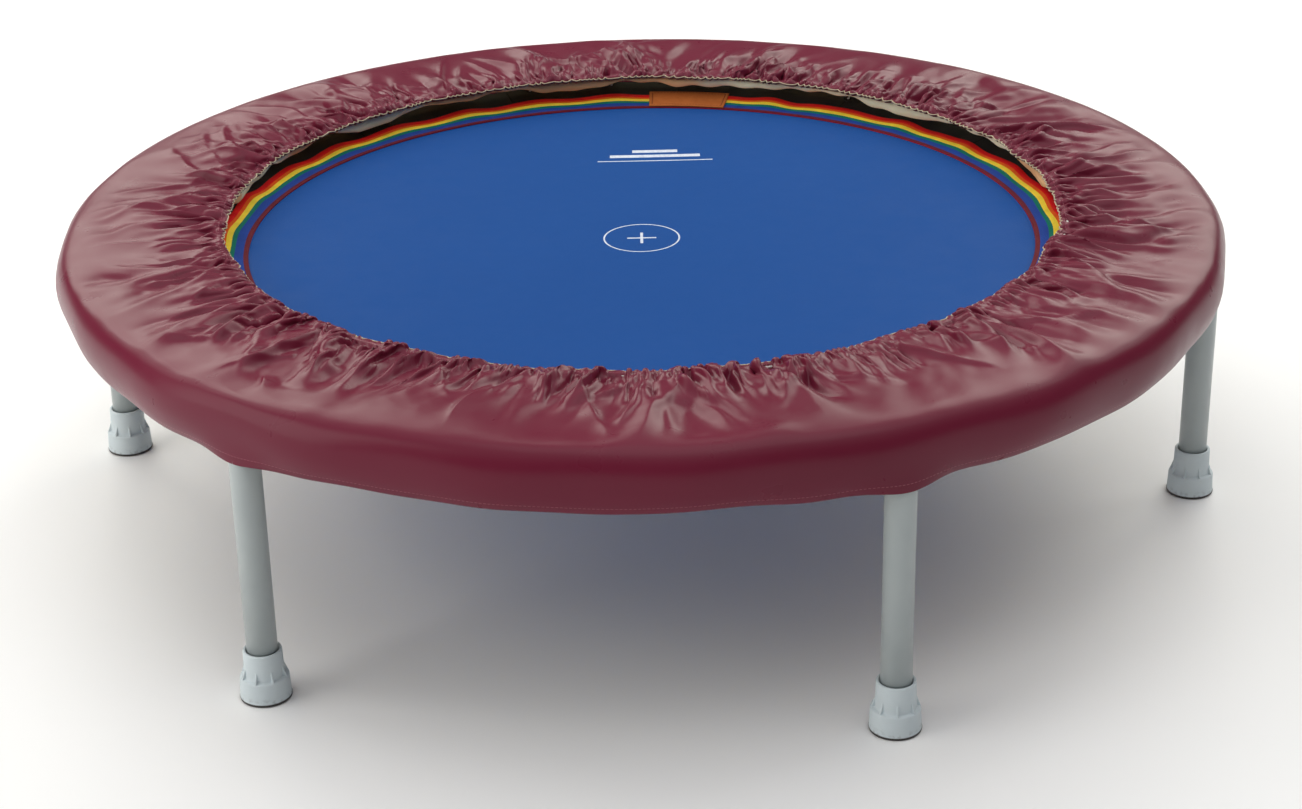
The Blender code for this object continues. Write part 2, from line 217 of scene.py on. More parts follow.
CAMERA = {"distance": 2.1805, "height": 1.0746, "pitch": 0.4334, "yaw": 0.003, "roll": -0.0201}
LENS, LENS_SHIFT = 71.25, -0.001
SKY_RISE = (0.42, 0.88, 0.09, 0.85)  # height from and to, then strength from and to
SKY_SEEN = 0.92
MIDDLE = (0, 0, 0.25)
CREAM = (1.0, 0.99, 0.90)
LIGHTS = (
    ("back_light", (-1.55, 2.8, 2.2), MIDDLE, (2.0, 2.7), 43, CREAM),
    ("right_light", (1.55, 2.8, 2.2), MIDDLE, (2.0, 2.7), 47, CREAM),
    ("top_light", (0.3, -0.6, 3.0), MIDDLE, (2.4, 2.4), 18, (1.0, 0.99, 0.97)),
    ("window_light", (-2.0, 1.1, 2.2), (-0.2, -0.2, 0.25), (1.8, 1.5), 14, (1.0, 0.98, 0.90)),
    ("side_light", (2.1, 1.1, 2.2), (0.2, -0.2, 0.25), (1.5, 1.3), 12, (1.0, 0.99, 0.93)),
    ("left_light", (-2.8, -1.1, 1.25), (-0.3, -0.3, 0.25), (2.4, 2.2), 44, (1.0, 0.98, 0.93)),
)  # place, target, size, watts and colour
FLOOR_HALF = 20
FLOOR_FADE = (2.2, 6.5)  # radii between which the floor brightens into the background
FLOOR_GLOW = 0.8

# ---- Node helpers ----


class Nodes:
    """A node tree that is built up with short calls."""

    def __init__(self, tree):
        self.tree = tree

    def plug(self, socket, value):
        if isinstance(value, bpy.types.NodeSocket):
            self.tree.links.new(value, socket)
        elif value is not None:
            socket.default_value = value

    def node(self, kind, *inputs, **settings):
        made = self.tree.nodes.new(kind)
        for key, value in settings.items():
            setattr(made, key, value)
        for socket, value in zip(made.inputs, inputs):
            self.plug(socket, value)
        return made

    def math(self, operation, a, b=None, c=None):
        return self.node("ShaderNodeMath", a, b, c, operation=operation).outputs[0]

    def plus(self, a, b):
        return self.math("ADD", a, b)

    def minus(self, a, b):
        return self.math("SUBTRACT", a, b)

    def times(self, a, b):
        return self.math("MULTIPLY", a, b)

    def most(self, a, b):
        return self.math("MAXIMUM", a, b)

    def coords(self, kind):
        return self.node("ShaderNodeTexCoord").outputs[kind]

    def split(self, vector):
        return self.node("ShaderNodeSeparateXYZ", vector).outputs

    def camera_ray(self):
        return self.node("ShaderNodeLightPath").outputs["Is Camera Ray"]

    def noise(self, scale, detail=3.0, vector=None):
        made = self.node("ShaderNodeTexNoise")
        self.plug(made.inputs["Vector"], vector or self.coords("Object"))
        self.plug(made.inputs["Scale"], scale)
        self.plug(made.inputs["Detail"], detail)
        return made.outputs["Fac"]

    def remap(self, value, low, high, to_low, to_high, kind="LINEAR"):
        levels = (value, low, high, to_low, to_high)
        made = self.node("ShaderNodeMapRange", *levels, interpolation_type=kind)
        return made.outputs["Result"]

    def step(self, value, low, high):
        """0 below low, 1 above high, smooth between."""
        return self.remap(value, low, high, 0.0, 1.0, "SMOOTHSTEP")

    def band(self, value, centre, half, soft):
        """1 within half of centre, fading to 0 over soft."""
        distance = self.math("ABSOLUTE", self.minus(value, centre))
        return self.minus(1.0, self.step(distance, half, half + soft))

    def mix(self, factor, a, b, blend="MIX"):
        made = self.node("ShaderNodeMix", data_type="RGBA", blend_type=blend)
        self.plug(made.inputs["Factor"], factor)
        for name, colour in (("A", a), ("B", b)):
            self.plug(made.inputs[name], (*colour, 1) if isinstance(colour, tuple) else colour)
        return made.outputs["Result"]

    def ramp(self, value, stops):
        """One flat colour from each stop to the next."""
        made = self.node("ShaderNodeValToRGB", value)
        made.color_ramp.interpolation = "CONSTANT"
        elements = made.color_ramp.elements
        while len(elements) < len(stops):
            elements.new(0.5)
        for element, (place, colour) in zip(elements, stops):
            element.position = place
            element.color = (*colour, 1)
        return made.outputs["Color"]

    def ribs(self, u, pitch):
        """Ribs across u, from 0 to 1."""
        return self.math("MULTIPLY_ADD", self.sine(u, pitch), 0.5, 0.5)

    def sine(self, u, pitch):
        return self.math("SINE", self.times(u, TAU / pitch))

    def weave(self, u, v, pitch_u, pitch_v):
        """Height of a plain weave, 0 to 1."""
        crossing = self.times(self.sine(u, pitch_u), self.sine(v, pitch_v))
        return self.math("MULTIPLY_ADD", crossing, 0.5, 0.5)


class Look(Nodes):
    """A Principled material."""

    def __init__(self, name, roughness=0.5, metallic=0.0):
        self.material = bpy.data.materials.new(name)
        self.material.use_nodes = True
        super().__init__(self.material.node_tree)
        self.shader = self.tree.nodes["Principled BSDF"]
        self.set("Roughness", roughness)
        self.set("Metallic", metallic)

    def set(self, name, value):
        """Sets a shader input to a value or a socket."""
        self.plug(self.shader.inputs[name], value)

    def uv(self):
        out = self.split(self.coords("UV"))
        return out[0], out[1]

    def tint(self, factor, a, b, blend="MIX"):
        """Mixes the base colour from two."""
        self.set("Base Color", self.mix(factor, a, b, blend))

    def patchy(self, scale, low, high):
        """Roughness that varies between two values."""
        self.set("Roughness", self.remap(self.noise(scale), 0.3, 0.7, low, high))

    def finish(self, *bumps):
        """Bumps are (height, distance) pairs, from the coarsest to the finest."""
        normal = None
        for height, distance in bumps:
            made = self.node("ShaderNodeBump")
            for name, value in (("Height", height), ("Distance", distance), ("Normal", normal)):
                self.plug(made.inputs[name], value)
            normal = made.outputs["Normal"]
        self.plug(self.shader.inputs["Normal"], normal)
        return self.material


# ---- Materials ----


def painted_steel():
    look = Look("grey_paint_satin")
    look.tint(look.noise(28.0, 4.0), (0.36, 0.40, 0.41), (0.43, 0.47, 0.47))
    look.patchy(90.0, 0.30, 0.44)
    look.set("Coat Weight", 0.15)
    return look.finish((look.noise(900.0, 2.0), 0.05 * MM))


def foot_rubber():
    """Grey rubber, scuffed near the floor, near black in a narrow band at the very bottom."""
    look = Look("grey_rubber_matte")
    height = look.split(look.coords("Object"))[2]
    scuffs = look.times(look.step(height, 0.010, 0.0), look.step(look.noise(260.0, 5.0), 0.45, 0.7))
    plain = look.mix(look.noise(60.0, 4.0), (0.56, 0.63, 0.66), (0.63, 0.70, 0.73))
    # near black from 1.8 mm above the floor down, fading out by 2.6 mm
    dark_bottom_band = look.step(height, 2.6 * MM, 1.8 * MM)
    worn = look.mix(look.times(scuffs, 0.5), plain, (0.16, 0.15, 0.15))
    look.tint(dark_bottom_band, worn, (0.035, 0.028, 0.026))
    look.patchy(130.0, 0.48, 0.66)
    return look.finish((look.noise(1400.0, 2.0), 0.04 * MM))


def zinc():
    look = Look("zinc_plate", metallic=1.0)
    patches = look.noise(220.0, 5.0)
    look.tint(patches, (0.44, 0.44, 0.42), (0.68, 0.68, 0.66))
    look.set("Roughness", look.remap(patches, 0.3, 0.7, 0.24, 0.42))
    return look.finish((look.noise(1500.0, 2.0), 0.02 * MM))


def cover_fabric():
    """Satin-faced wine nylon with fine slubs, and thread stitches along both hems."""
    look = Look("wine_satin")
    u, v = look.uv()
    base = look.mix(look.noise(5.0, 3.0), (0.125, 0.009, 0.026), (0.162, 0.014, 0.037))
    stitched = hem_stitches(look, u, v)
    look.tint(stitched, base, (0.30, 0.08, 0.11))
    look.patchy(40.0, 0.27, 0.33)
    look.set("Specular IOR Level", 0.20)
    stretched = look.node("ShaderNodeCombineXYZ", look.times(u, 260.0), look.times(v, 1800.0))
    slubs = look.noise(1.0, 2.0, stretched.outputs[0])
    threads = look.weave(u, v, 0.7 * MM, 0.7 * MM)
    return look.finish((slubs, 0.012 * MM), (threads, 0.008 * MM), (stitched, 0.25 * MM))


def hem_stitches(look, u, v):
    """Thread dashes along two lines: outside the gathered hem and above the outer hem."""
    dash = look.step(look.ribs(u, 3.4 * MM), 0.25, 0.4)
    inner, outer = (look.band(v, line, 0.25 * MM, 0.15 * MM) for line in STITCH_LINES)
    return look.times(dash, look.plus(inner, outer))


def piping():
    look = Look("pale_piping", 0.7)
    u = look.uv()[0]
    look.tint(look.noise(160.0, 4.0), (0.36, 0.25, 0.16), (0.60, 0.53, 0.36))
    return look.finish((look.ribs(u, 0.9 * MM), 0.1 * MM))


def foam():
    """Pale foam with tan patches and open cells."""
    look = Look("cream_foam_cells", 0.9)
    tan = look.step(look.noise(9.0, 2.0), 0.50, 0.57)
    pale = look.mix(look.noise(60.0, 4.0), (1.0, 0.90, 0.62), (0.94, 0.78, 0.50))
    look.tint(tan, pale, (0.90, 0.48, 0.22))
    look.set("Subsurface Weight", 0.08)
    cells = look.node("ShaderNodeTexVoronoi", look.coords("Object"), feature="DISTANCE_TO_EDGE")
    look.plug(cells.inputs["Scale"], 900.0)
    return look.finish((look.noise(45.0, 3.0), 0.4 * MM), (cells.outputs["Distance"], 0.2 * MM))


def braid(name, colour):
    look = Look(name, 0.75)
    look.set("Base Color", (*colour, 1))
    u, v = look.uv()
    one = look.ribs(look.plus(u, look.times(v, 0.6)), 1.6 * MM)
    two = look.ribs(look.minus(u, look.times(v, 0.6)), 1.6 * MM)
    return look.finish((look.times(one, two), 0.3 * MM))


def mat_fabric():
    """Woven polypropylene with a soft sheen, and two plain marks in white ink on its upper face."""
    look = Look("blue_weave")
    place = look.split(look.coords("Object"))
    x, y = place[0], place[1]
    base = look.mix(look.noise(3.2, 2.0), (0.011, 0.064, 0.250), (0.014, 0.074, 0.275))
    fleck = look.step(look.noise(700.0, 2.0), 0.62, 0.78)
    base = look.mix(look.times(fleck, 0.12), base, (0.10, 0.20, 0.45))
    ink = look.most(target_mark(look, x, y), bars_mark(look, x, y))
    worn = look.remap(look.noise(420.0, 4.0), 0.35, 0.6, 0.80, 1.0)
    upper_face = look.step(look.split(look.coords("Normal"))[2], 0.0, 0.1)
    ink = look.times(ink, look.times(worn, upper_face))
    look.tint(ink, base, (0.66, 0.70, 0.78))
    look.patchy(26.0, 0.44, 0.56)
    look.set("Specular IOR Level", 0.03)
    threads = look.weave(x, y, 1.5 * MM, 1.1 * MM)
    return look.finish((look.noise(9.0, 1.0), 0.15 * MM), (threads, 0.07 * MM), (ink, 0.03 * MM))


def turned_coords(look, x, y, centre):
    """x and y measured from a centre, across and along the camera's view."""
    dx = look.minus(x, centre[0])
    dy = look.minus(y, centre[1])
    cos, sin = math.cos(math.radians(VIEW_TURN)), math.sin(math.radians(VIEW_TURN))
    across = look.plus(look.times(dx, cos), look.times(dy, sin))
    along = look.minus(look.times(dy, cos), look.times(dx, sin))
    return across, along


def target_mark(look, x, y):
    """A thin circle round a small cross in the middle of the mat."""
    across, along = turned_coords(look, x, y, (0, 0))
    squares = look.plus(look.math("POWER", across, 2.0), look.math("POWER", along, 2.0))
    far = look.math("SQRT", squares)
    ring = look.band(far, TARGET_R, 0.6 * MM, MARK_SOFT)
    near = look.minus(1.0, look.step(far, CROSS_R, CROSS_R + 0.4 * MM))
    arms = [look.band(axis, 0.0, 1.1 * MM, MARK_SOFT) for axis in (across, along)]
    return look.most(ring, look.times(near, look.most(*arms)))


def bars_mark(look, x, y):
    """Three stacked bars of different lengths near the label."""
    across, along = turned_coords(look, x, y, BARS_PLACE)
    mark = 0.0
    for offset, length, half in BARS:
        ends = look.band(across, 0.0, length, MARK_SOFT)
        mark = look.most(mark, look.times(ends, look.band(along, offset, half, MARK_SOFT)))
    return mark


def webbing():
    """Black webbing in sections, with a dark groove at each seam."""
    look = Look("black_weave", 0.7)
    u, v = look.uv()
    angle = look.math("DIVIDE", u, WEB_R)
    turn = look.math("FRACT", look.math("DIVIDE", look.minus(angle, SEAM_FIRST), TAU / SEAM_COUNT))
    seam = look.band(turn, 0.5, 0.004, 0.002)
    base = look.mix(look.noise(40.0, 3.0), (0.008, 0.008, 0.009), (0.020, 0.020, 0.021))
    look.tint(seam, base, (0.002, 0.002, 0.002))
    look.set("Specular IOR Level", 0.12)
    threads = look.weave(u, v, 1.4 * MM, 1.4 * MM)
    return look.finish((look.minus(1.0, seam), 0.8 * MM), (threads, 0.12 * MM))


def stripes():
    """Striped webbing: v runs across it from its inner edge."""
    look = Look("striped_webbing", 0.62)
    u, v = look.uv()
    ragged = look.times(look.minus(look.noise(600.0, 2.0), 0.5), 0.5 * MM)
    share = look.math("DIVIDE", look.plus(v, ragged), BAND_WIDTH)
    stops = (
        (0.0, (0.140, 0.010, 0.022)),
        (0.14, (0.016, 0.060, 0.330)),
        (0.40, (0.003, 0.180, 0.120)),
        (0.53, (1.000, 0.740, 0.055)),
        (0.69, (0.900, 0.130, 0.012)),
        (0.80, (0.920, 0.010, 0.014)),
    )
    colour = look.ramp(share, stops)
    dirt = look.remap(look.noise(70.0, 4.0), 0.3, 0.7, 0.86, 1.05)
    # the weft ribs darken the colour in their grooves: painted shade between the threads, multiplied
    # with the dirt's random tone
    weft = look.ribs(u, 1.1 * MM)
    dirt_and_weft_shade = look.times(dirt, look.remap(weft, 0.0, 1.0, 0.82, 1.05))
    grey = look.node("ShaderNodeCombineColor", dirt_and_weft_shade, dirt_and_weft_shade, dirt_and_weft_shade).outputs[0]
    look.tint(1.0, colour, grey, "MULTIPLY")
    look.set("Specular IOR Level", 0.10)
    return look.finish((look.times(weft, look.ribs(v, 1.0 * MM)), 0.25 * MM))


def suede():
    """Tan suede with a line of stitches in a groove near its edge."""
    look = Look("tan_suede", 0.85)
    u, v = look.uv()
    edge = look.math("MINIMUM", v, look.minus(LABEL_WIDTH, v))
    side = look.math("MINIMUM", u, look.minus(LABEL_LENGTH, u))
    rim = look.math("MINIMUM", edge, side)
    at_sides = look.step(look.minus(edge, side), 0.0, 0.1 * MM)
    dash = look.step(look.most(look.ribs(u, LABEL_STITCH), at_sides), 0.3, 0.45)
    thread = look.times(look.band(rim, LABEL_STITCH, 0.35 * MM, 0.15 * MM), dash)
    groove = look.band(rim, LABEL_STITCH, 0.7 * MM, 0.5 * MM)
    nap = look.noise(180.0, 5.0)
    base = look.mix(nap, (0.35, 0.088, 0.018), (0.50, 0.150, 0.036))
    look.tint(thread, base, (0.20, 0.045, 0.012))
    look.set("Specular IOR Level", 0.15)
    return look.finish((look.minus(1.0, groove), 0.3 * MM), (nap, 0.15 * MM), (thread, 0.2 * MM))


# ---- Mesh helpers ----


def circle(count, closed=False):
    """Evenly spaced angles round a full turn, with one more to close it if asked."""
    return np.arange(count + closed) * TAU / count


def polar(radius, angles, z):
    """Points at these radii, angles and heights, which are spread over one grid."""
    return np.stack(np.broadcast_arrays(radius * np.cos(angles), radius * np.sin(angles), z), axis=-1)


def link(name, mesh):
    obj = bpy.data.objects.new(name, mesh)
    bpy.context.scene.collection.objects.link(obj)
    return obj


def surface(name, points, along, across, material, closed=True):
    """A grid of points [row][column] as a mesh, with a UV map in metres: along runs over the columns,
    and across over the rows. A closed grid joins its last column to its first, and along has one more
    value than it has columns."""
    rows, columns = points.shape[:2]
    index = np.arange(rows * columns).reshape(rows, columns)
    last = columns if closed else columns - 1
    here = index[:, :last]
    following = np.roll(index, -1, axis=1)[:, :last]
    faces = np.stack([here[:-1], here[1:], following[1:], following[:-1]], axis=-1)
    mesh = bpy.data.meshes.new(name)
    mesh.from_pydata(points.reshape(-1, 3).tolist(), [], faces.reshape(-1, 4).tolist())
    v0, u0 = np.meshgrid(across[:-1], along[:-1], indexing="ij")
    v1, u1 = np.meshgrid(across[1:], along[1:], indexing="ij")
    corners = ((u0, v0), (u0, v1), (u1, v1), (u1, v0))
    uvs = np.stack([np.stack(corner, axis=-1) for corner in corners], axis=2)
    layer = mesh.uv_layers.new(name="UVMap")
    layer.data.foreach_set("uv", uvs.reshape(-1).astype(np.float32))
    mesh.shade_smooth()
    mesh.materials.append(material)
    return link(name, mesh)


def lengths(profile):
    """Distance along a list of points, from its start."""
    steps = np.linalg.norm(np.diff(np.asarray(profile, float), axis=0), axis=1)
    return np.concatenate([[0.0], np.cumsum(steps)])


def at_lengths(profile, where, targets):
    """The points of a profile at these distances along it."""
    profile = np.asarray(profile, float)
    return np.stack([np.interp(targets, where, column) for column in profile.T], axis=-1)


def resample(profile, count):
    """The profile as this many evenly spaced points on its straight pieces."""
    where = lengths(profile)
    return at_lengths(profile, where, np.linspace(0, where[-1], count))


def smooth(rows, passes=1):
    """Moves each row but the first and last towards its neighbours, in place."""
    for _ in range(passes):
        rows[1:-1] = (rows[:-2] + 2 * rows[1:-1] + rows[2:]) / 4
    return rows


def lathe(name, profile, steps, material):
    """An (r, z) profile turned about Z. The profile runs from the inside outwards over the top."""
    profile = np.asarray(profile, float)
    points = polar(profile[:, :1], circle(steps), profile[:, 1:])
    along = circle(steps, closed=True) * float(profile[:, 0].max())
    return surface(name, points, along, lengths(profile), material)


def tube(name, path, radius, material, sides=10, closed=False):
    """A wire along a path of points, with closed ends."""
    path = np.asarray(path, float)
    if closed:
        tangents = np.roll(path, -1, axis=0) - np.roll(path, 1, axis=0)
    else:
        tangents = np.gradient(path, axis=0)
    tangents /= np.linalg.norm(tangents, axis=1, keepdims=True)
    normals = np.empty_like(tangents)
    normal = np.cross(tangents[0], (0.3, 0.2, 0.93))
    for i, tangent in enumerate(tangents):
        normal = normal - tangent * normal.dot(tangent)
        normal /= np.linalg.norm(normal)
        normals[i] = normal
    binormals = np.cross(tangents, normals)
    turns = circle(sides)[:, None]
    rings = normals[:, None] * np.cos(turns) - binormals[:, None] * np.sin(turns)
    points = path[:, None] + radius * rings
    if closed:
        points = np.concatenate([points, points[:1]])
    else:
        cap = np.array([0.0, 0.7])[:, None, None]  # a point, then a ring at this share of the radius
        start = path[0] + (points[0] - path[0]) * cap - tangents[0] * radius / 2
        end = path[-1] + (points[-1] - path[-1]) * cap[::-1] + tangents[-1] * radius / 2
        points = np.concatenate([start, points, end])
    along = circle(sides, closed=True) * radius
    return surface(name, points, along, np.arange(len(points)) * MM, material)


def slab(name, outline, y_low, y_high, material):
    """An (x, z) outline, thickened from y_low to y_high, with rounded edges."""
    shape = bmesh.new()
    face = shape.faces.new([shape.verts.new((x, y_low, z)) for x, z in outline])
    grown = bmesh.ops.extrude_face_region(shape, geom=[face])["geom"]
    moved = [v for v in grown if isinstance(v, bmesh.types.BMVert)]
    bmesh.ops.translate(shape, verts=moved, vec=(0, y_high - y_low, 0))
    bmesh.ops.recalc_face_normals(shape, faces=shape.faces)
    mesh = bpy.data.meshes.new(name)
    shape.to_mesh(mesh)
    shape.free()
    mesh.materials.append(material)
    obj = link(name, mesh)
    soften(obj, EDGE_ROUND)
    return obj


def soften(obj, width, segments=2):
    bevel = obj.modifiers.new("bevel", "BEVEL")
    bevel.width = width
    bevel.segments = segments
    bevel.limit_method = "ANGLE"
    obj.data.shade_smooth()
    obj.data.set_sharp_from_angle(angle=math.radians(50))


def apply_modifiers(obj):
    bpy.context.view_layer.update()
    graph = bpy.context.evaluated_depsgraph_get()
    mesh = bpy.data.meshes.new_from_object(obj.evaluated_get(graph))
    obj.modifiers.clear()
    obj.data = mesh


def joined(name, objects):
    """Objects of one material as one object, with their modifiers applied."""
    shape = bmesh.new()
    for obj in objects:
        apply_modifiers(obj)
        obj.data.transform(obj.matrix_world)
        shape.from_mesh(obj.data)
    mesh = bpy.data.meshes.new(name)
    shape.to_mesh(mesh)
    shape.free()
    mesh.materials.append(objects[0].data.materials[0])
    for obj in objects:
        bpy.data.objects.remove(obj)
    return link(name, mesh)


def at_angle(obj, angle, origin=(0, 0, 0)):
    """Turns a piece modelled along +X to its angle, after moving it to the origin given."""
    obj.matrix_world = Matrix.Rotation(angle, 4, "Z") @ Matrix.Translation(origin)
    return obj


def stand_in(obj, node, body):
    """Shows the piece instead of a CAD node, or beside them all, on a body."""
    if node:
        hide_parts(node)
    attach(obj, body)


def wave(angles, seed, low, high, count):
    """A smooth random wave round the ring, about -1 to 1, from whole-number frequencies."""
    random = np.random.default_rng(seed)
    total = np.zeros_like(angles)
    for _ in range(count):
        frequency = random.integers(low, high + 1)
        total += np.cos(frequency * angles + random.uniform(0, TAU)) * random.uniform(0.5, 1.0)
    return total / (0.55 * math.sqrt(count))


def fade(distance, length):
    """0 up to no distance, rising to 1 at this length."""
    return np.clip(distance / length, 0, 1)


def eased(share):
    """Rounds off both ends of a rise from 0 to 1."""
    return share * share * (3 - 2 * share)


def hump(distance, low, high):
    """0 to 1 to 0 between the two distances."""
    return np.sin(fade(distance - low, high - low) * math.pi) ** 0.8


def log_uniform(random, low, high):
    return math.exp(random.uniform(math.log(low), math.log(high)))


# ---- Cover ----

COVER_MARKS = lengths(COVER_PROFILE)
HEM_V = COVER_MARKS[HEM_END]
WALL_V = COVER_MARKS[WALL_START]
STITCH_LINES = (HEM_V + 4 * MM, COVER_MARKS[-3] - 9 * MM)
COVER_STEPS = (
    (26 * MM, 1.4 * MM),
    (55 * MM, 2.4 * MM),
    (120 * MM, 3.2 * MM),
    (COVER_MARKS[-1] - 14 * MM, 5.5 * MM),
    (COVER_MARKS[-1], 1.6 * MM),
)  # rows of the mesh: up to this distance across the cover, at this spacing


def cover_rows():
    """Distance across the cover for each row of its mesh, finer at both hems."""
    rows = [0.0]
    for limit, step in COVER_STEPS:
        count = math.ceil((limit - rows[-1]) / step)
        rows.extend(np.linspace(rows[-1], limit, count + 1)[1:])
    return np.array(rows)


COVER_V = cover_rows()
TOP_V = COVER_V - HEM_V  # the same, from the hem


def cover_section():
    """Radius and height of the cover at each row, with the profile's corners rounded off."""
    fine = np.linspace(0, COVER_MARKS[-1], SECTION_SAMPLES)
    section = smooth(at_lengths(COVER_PROFILE, COVER_MARKS, fine), SECTION_PASSES)
    return at_lengths(section, fine, COVER_V)


SECTION = cover_section()
SECTION_R, SECTION_Z = SECTION[:, :1], SECTION[:, 1:]


def fold_waves(angles, top):
    """Start of the folds: waves that are short at the hem and longer outwards, leaning and bending."""
    random = np.random.default_rng(11)
    lean = 0.36 * wave(angles, 3, 3, 9, 5) + 0.24 * wave(angles, 4, 10, 26, 6)
    turned = angles + top * lean / FOLD_R
    for _ in range(FOLD_BENDS):
        round_way = random.integers(12, 60)
        outward = random.uniform(20, 110)
        swing = random.uniform(0.4, 1.0) * 2.0 * MM / FOLD_R * fade(top, 40 * MM)
        turned += swing * np.cos(round_way * angles + outward * top + random.uniform(0, TAU))
    folds = np.zeros_like(turned)
    for _ in range(FOLD_WAVES):
        length = log_uniform(random, *FOLD_LENGTHS)
        frequency = round(TAU * FOLD_R / length)
        reach = length * 0.95 - 4 * MM
        share = np.exp(-(((top - reach) / (0.6 * reach + 6 * MM)) ** 2))
        folds += share * np.cos(frequency * turned + random.uniform(0, TAU)) * length**1.25
    return folds


def cover_start():
    """The cover's points before it settles, and how much longer each row is than the ring under it."""
    angles = circle(COVER_COLUMNS)
    outwards = np.maximum(TOP_V, 0)[:, None]
    gather = np.interp(outwards, *EXCESS)
    folds = fold_waves(angles, outwards)
    spacing = SECTION_R * TAU / COVER_COLUMNS
    slope = np.sqrt(((np.roll(folds, -1, axis=1) - folds) ** 2).mean(axis=1, keepdims=True)) / spacing
    patch = np.clip(1 + 0.25 * wave(angles, 8, 2, 12, 6), 0.7, 1.5)
    folds *= np.sqrt(2 * gather) / slope * 1.6 * patch
    folds = FOLD_PEAK * np.tanh(folds / FOLD_PEAK)
    folds *= (fade(TOP_V, 7 * MM) * fade(WALL_V - COVER_V, 30 * MM))[:, None]
    radius = SECTION_R + leg_room(angles) + hem_wander(angles, TOP_V[:, None])
    return polar(radius, angles, SECTION_Z + folds + droop(angles)), gather[:, 0]


def hem_wander(angles, top):
    """The elastic pulls the hem slightly in and out of round."""
    return np.exp(-np.maximum(top, 0) / 0.03) * 1.3 * MM * wave(angles, 31, 3, 30, 9)


def near_leg(angles, half_degrees):
    """1 at each leg, falling smoothly to 0 this many degrees away."""
    total = np.zeros_like(angles)
    for hinge in HINGES.values():
        apart = np.angle(np.exp(1j * (angles - math.atan2(hinge.y, hinge.x))))
        total += eased(np.clip(1 - np.abs(np.degrees(apart)) / half_degrees, 0, 1))
    return total


def leg_room(angles):
    """The skirt stands out where a leg holds it, and is slightly uneven all round."""
    leg_out = LEG_R + TUBE_R + 1.2 * MM
    short = np.maximum(leg_out - SECTION_R, 0) * (SECTION_Z < RING_Z)
    lumps = 1.0 * MM * wave(angles, 41, 4, 22, 8) * fade(COVER_TOP - SECTION_Z, 0.03)
    return short * near_leg(angles, 6.5) + lumps


def droop(angles):
    """The hem hangs a little lower at the legs, and wavers between them."""
    hang = -2.6 * MM * near_leg(angles, 4.5) + 0.7 * MM * wave(angles, 42, 5, 40, 9)
    return fade(RING_Z - SECTION_Z, RING_Z - COVER_LOW) * hang


def rest_shape(gather):
    """Points whose distances are the cloth's true lengths: each row at its full, ungathered radius."""
    radius = SECTION[:, 0] * (1 + gather)
    rise = np.sqrt(np.maximum(np.diff(COVER_V) ** 2 - np.diff(radius) ** 2, 0))
    height = np.concatenate([[0.0], -np.cumsum(rise)])
    return polar(radius[:, None], circle(COVER_COLUMNS), height[:, None])


def settle_cover(obj, gather):
    """Cloth simulation: the gathered sheet settles into folds on the foam, held at both hems."""
    rest = rest_shape(gather)
    obj.shape_key_add(name="Basis")
    key = obj.shape_key_add(name="Rest")
    key.data.foreach_set("co", rest.astype(np.float32).ravel())
    pins = obj.vertex_groups.new(name="pins")
    index = np.arange(rest[..., 0].size).reshape(-1, COVER_COLUMNS)
    held = (COVER_V <= HEM_V + 4 * MM) | (COVER_V >= WALL_V + 6 * MM)
    pins.add(index[held].ravel().tolist(), 1.0, "REPLACE")
    cloth = obj.modifiers.new("cloth", "CLOTH")
    cloth.settings.vertex_group_mass = "pins"
    cloth.settings.rest_shape_key = key
    for name, value in CLOTH_SETTINGS.items():
        setattr(cloth.settings, name, value)
    cloth.collision_settings.distance_min = 1 * MM
    cloth.collision_settings.collision_quality = 2
    cloth.point_cache.frame_start = 1
    cloth.point_cache.frame_end = CLOTH_FRAMES
    former = foam_former()
    for step in range(1, CLOTH_FRAMES + 1):
        bpy.context.scene.frame_set(step)
    graph = bpy.context.evaluated_depsgraph_get()
    settled = obj.evaluated_get(graph).to_mesh()
    flat = np.empty(len(settled.vertices) * 3, np.float32)
    settled.vertices.foreach_get("co", flat)
    bpy.context.scene.frame_set(1)
    bpy.data.objects.remove(former)
    return flat.reshape(rest.shape).astype(float)


def foam_former():
    """The foam's upper surface, which the cloth rests on while it settles."""
    former = lathe("foam_former", FORMER_PROFILE, 96, WINE_LOOK)
    former.modifiers.new("collision", "COLLISION")
    former.collision.thickness_outer = 1 * MM
    former.collision.cloth_friction = 20
    return former


def capped(settled, start):
    """The settled folds, deepened up to a cap about their mean height and easing into the wall."""
    height = settled[..., 2] - start[..., 2].mean(axis=1, keepdims=True)
    height -= height.mean(axis=1, keepdims=True)
    height *= np.tanh(1.8 * wave(circle(COVER_COLUMNS), 33, 4, 16, 6) - 0.5)
    cap = np.interp(TOP_V, *FOLD_CAP)[:, None]
    points = settled.copy()
    points[..., 2] = SECTION_Z + cap * np.tanh(height * FOLD_GAIN / cap)
    share = eased(fade(WALL_V + 6 * MM - COVER_V, 26 * MM))
    return start + (points - start) * share[:, None, None]


def creased(height):
    """Folds with sharper ridges and valleys than the waves they came from."""
    side = np.fft.irfft(-1j * np.fft.rfft(height, axis=1), n=height.shape[1], axis=1)
    return height - CREASE * np.abs(side) * np.tanh(height / (2 * MM))


def refined(points):
    """The cover with twice the columns, keeping only the waves that are long enough for their row."""
    waves = np.fft.rfft(points, axis=1)
    order = np.arange(waves.shape[1])
    finest = np.interp(TOP_V, *FINEST_WAVES)[:, None]
    waves *= np.clip((finest * 1.25 - order) / (finest * 0.5), 0, 1)[..., None]
    fine = np.fft.irfft(waves, n=2 * COVER_COLUMNS, axis=1) * 2
    smooth(fine[:-SKIRT_ROWS])
    folds = fade(TOP_V, 20 * MM) * fade(WALL_V - COVER_V, 20 * MM)
    height = fine[..., 2] - SECTION_Z
    fine[..., 2] += (creased(height) - height) * folds[:, None]
    return fine


